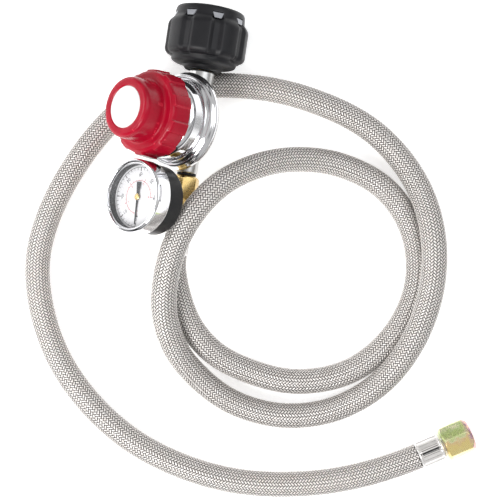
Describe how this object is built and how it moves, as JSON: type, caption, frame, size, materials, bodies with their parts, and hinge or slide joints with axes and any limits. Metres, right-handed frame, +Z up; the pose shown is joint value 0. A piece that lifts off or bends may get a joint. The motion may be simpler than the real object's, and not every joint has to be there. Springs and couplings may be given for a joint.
{
  "type": "propane regulator hose",
  "caption": "Adjustable gas pressure regulator with a hand nut, knob, pressure gauge and braided steel hose that ends in a swivel flare nut.",
  "frame": {"origin": "on the surface that the part lies on, under the middle of the regulator's box, hose and hose fittings left out", "axes": "+Y along the port axis, out of the hand nut; +Z up from the surface; the bonnet and gauge lean to -X and up"},
  "size_m": [0.2944, 0.2906, 0.0781],
  "materials": {
    "cast_zinc": "plated die casting, satin",
    "chrome": "polished chrome plate",
    "brass": "machined brass",
    "steel": "plated steel",
    "spring_steel": "spring wire",
    "rubber": "black rubber",
    "red_plastic": "glossy red plastic",
    "label": "white label disc",
    "black_plastic": "charcoal moulded plastic",
    "dark_plastic": "black painted case",
    "glass": "clear lens",
    "dial_paint": "white printed dial",
    "black_paint": "black paint",
    "copper_alloy": "phosphor bronze",
    "braid": "stainless steel wire braid over a rubber tube",
    "zinc_yellow": "yellow iridescent zinc plate"
  },
  "bodies": {
    "regulator": {"valve_body": "cast_zinc", "valve_plug": "brass", "valve_spring": "spring_steel", "valve_orifice": "brass", "diaphragm": "rubber", "bonnet": "chrome", "crimp_ring": "chrome", "main_spring": "spring_steel", "inlet_nipple": "brass", "excess_flow_spring": "spring_steel", "poppet_cage": "brass", "tee_seal": "rubber", "outlet_tee": "brass", "gauge_socket": "brass", "gauge_case": "dark_plastic", "gauge_bezel": "chrome", "gauge_lens": "glass", "gauge_dial": "dial_paint", "zero_pin": "black_paint", "movement_plate": "brass", "bourdon_tube": "copper_alloy", "start_stem": "steel", "start_ferrule": "steel", "hose": "braid", "end_ferrule": "steel", "flare_stem": "steel"},
    "valve_stem": {"valve_poppet": "brass", "diaphragm_plate": "steel"},
    "spring_carriage": {"spring_button": "steel"},
    "knob": {"control_knob": "red_plastic", "knob_label": "label", "adjusting_screw": "steel"},
    "nut": {"hand_nut": "black_plastic", "thermal_bushing": "dark_plastic"},
    "excess_flow": {"excess_flow_poppet": "brass"},
    "pointer": {"gauge_pointer": "black_paint", "pointer_hub": "brass", "pointer_pinion": "brass"},
    "sector": {"sector_gear": "brass"},
    "flare_swivel": {"flare_nut": "zinc_yellow"}
  },
  "joints": [
    {"name": "valve_travel", "type": "slide", "parent": "regulator", "child": "valve_stem", "axis": [0.6691, 0, -0.7431], "range_m": [0, 0.001], "stiffness_N_per_m": 300, "deforming": ["valve_spring", "diaphragm"]},
    {"name": "adjuster_travel", "type": "slide", "parent": "regulator", "child": "spring_carriage", "axis": [0.6691, 0, -0.7431], "range_m": [0, 0.003], "deforming": ["main_spring"]},
    {"name": "knob_turn", "type": "hinge", "parent": "spring_carriage", "child": "knob", "pos_m": [0.013, 0, 0.0246], "axis": [0.6691, 0, -0.7431], "range_deg": [0, 1081]},
    {"name": "nut_turn", "type": "hinge", "parent": "regulator", "child": "nut", "pos_m": [0.013, 0, 0.0246], "axis": [0, 1, 0], "continuous": true},
    {"name": "excess_flow_travel", "type": "slide", "parent": "regulator", "child": "excess_flow", "axis": [0, -1, 0], "range_m": [0, 0.003], "stiffness_N_per_m": 60, "deforming": ["excess_flow_spring"]},
    {"name": "pointer_turn", "type": "hinge", "parent": "regulator", "child": "pointer", "pos_m": [0.013, -0.0494, 0.0246], "axis": [0.6293, 0, -0.7771], "range_deg": [0, 270], "stiffness_Nm_per_rad": 0.00002},
    {"name": "sector_turn", "type": "hinge", "parent": "regulator", "child": "sector", "pos_m": [0.013, -0.0367, 0.0246], "axis": [0.6293, 0, -0.7771], "range_deg": [-40, 1]},
    {"name": "flare_turn", "type": "hinge", "parent": "regulator", "child": "flare_swivel", "pos_m": [0.1805, -0.181, 0.0101], "axis": [0.8526, 0.5225, 0], "continuous": true}
  ],
  "couplings": [
    {"joint": "knob_turn", "follows": "adjuster_travel", "rad_per_m": 6283.2},
    {"joint": "sector_turn", "follows": "pointer_turn", "ratio": -0.14286}
  ]
}
